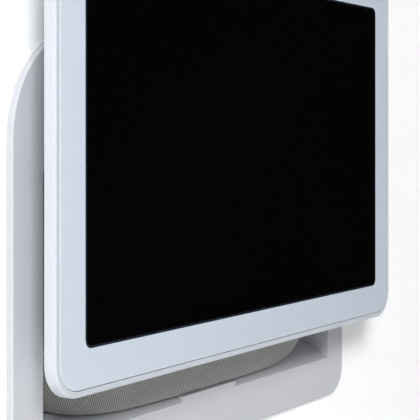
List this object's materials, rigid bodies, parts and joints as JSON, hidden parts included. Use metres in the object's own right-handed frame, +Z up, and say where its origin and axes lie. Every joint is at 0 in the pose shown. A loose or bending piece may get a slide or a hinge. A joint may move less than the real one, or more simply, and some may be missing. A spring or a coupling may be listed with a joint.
{
  "type": "smart display",
  "caption": "Tabletop smart display with a fabric base, lifted into a recessed bracket that holds it upright on a wall.",
  "frame": {"origin": "midway between the two wall screw holes, on the back face of the bracket's flange (the wall surface)", "axes": "+X right and +Z up as seen from the front, +Y into the wall"},
  "size_m": [0.1764, 0.0712, 0.1378],
  "materials": {
    "bracket_plastic": "printed white plastic with faint layer lines",
    "glass_front": "glossy glass with white ink border and black window",
    "housing_white": "satin moulded white",
    "control_white": "satin moulded white",
    "knit_fabric": "fine grey knit",
    "pad_rubber": "soft matte",
    "inner_plastic": "moulded dark grey",
    "lcd_glass": "black polariser",
    "light_guide": "clear acrylic",
    "sheet_metal": "plain stamped",
    "chassis_metal": "bare",
    "steel_screws": "zinc plated",
    "circuit_board": "green solder mask",
    "chip_black": "black",
    "driver_metal": "black",
    "cone_paper": "pressed pulp"
  },
  "bodies": {
    "bracket": {"wall_bracket": "bracket_plastic"},
    "mute_slider": {"mute_slider": "control_white"},
    "volume_rocker": {"volume_rocker": "control_white"},
    "speaker_cone": {"speaker_cone": "cone_paper"},
    "display": {"cover_glass": "glass_front", "front_bezel": "housing_white", "rear_cover": "housing_white", "fabric_sleeve": "knit_fabric", "foot_pad": "pad_rubber", "cone_surround": "pad_rubber", "base_shell": "inner_plastic", "neck_plate": "inner_plastic", "foot_plate": "inner_plastic", "speaker_enclosure": "inner_plastic", "lcd_panel": "lcd_glass", "light_guide": "light_guide", "backlight_tray": "sheet_metal", "shield_can": "sheet_metal", "chassis": "chassis_metal", "heat_spreader": "chassis_metal", "chassis_screws": "steel_screws", "board_screws": "steel_screws", "neck_screws": "steel_screws", "foot_screws": "steel_screws", "speaker_screws": "steel_screws", "rocker_pin": "steel_screws", "weight_plate": "steel_screws", "main_board": "circuit_board", "mic_boards": "circuit_board", "control_boards": "circuit_board", "power_board": "circuit_board", "processor_chips": "chip_black", "radio_module": "chip_black", "light_sensor": "chip_black", "tact_switches": "chip_black", "mute_switch": "chip_black", "dc_jack": "chip_black", "wire_harness": "chip_black", "antennas": "chip_black", "display_flex": "chip_black", "driver_basket": "driver_metal", "driver_magnet": "driver_metal"}
  },
  "joints": [
    {"name": "display_pull", "type": "slide", "parent": "bracket", "child": "display", "axis": [0, -0.9397, 0.342], "range_m": [0, 0.07]},
    {"name": "mute_slide", "type": "slide", "parent": "display", "child": "mute_slider", "axis": [1, 0, 0], "range_m": [0, 0.003]},
    {"name": "volume_rock", "type": "hinge", "parent": "display", "child": "volume_rocker", "pos_m": [0.073, -0.01, 0.018], "axis": [1, 0, 0], "range_deg": [-2, 2], "stiffness_Nm_per_rad": 0.25},
    {"name": "cone_travel", "type": "slide", "parent": "display", "child": "speaker_cone", "axis": [0, 0.8829, 0.4695], "range_m": [-0.0008, 0.0008], "stiffness_N_per_m": 1500}
  ]
}
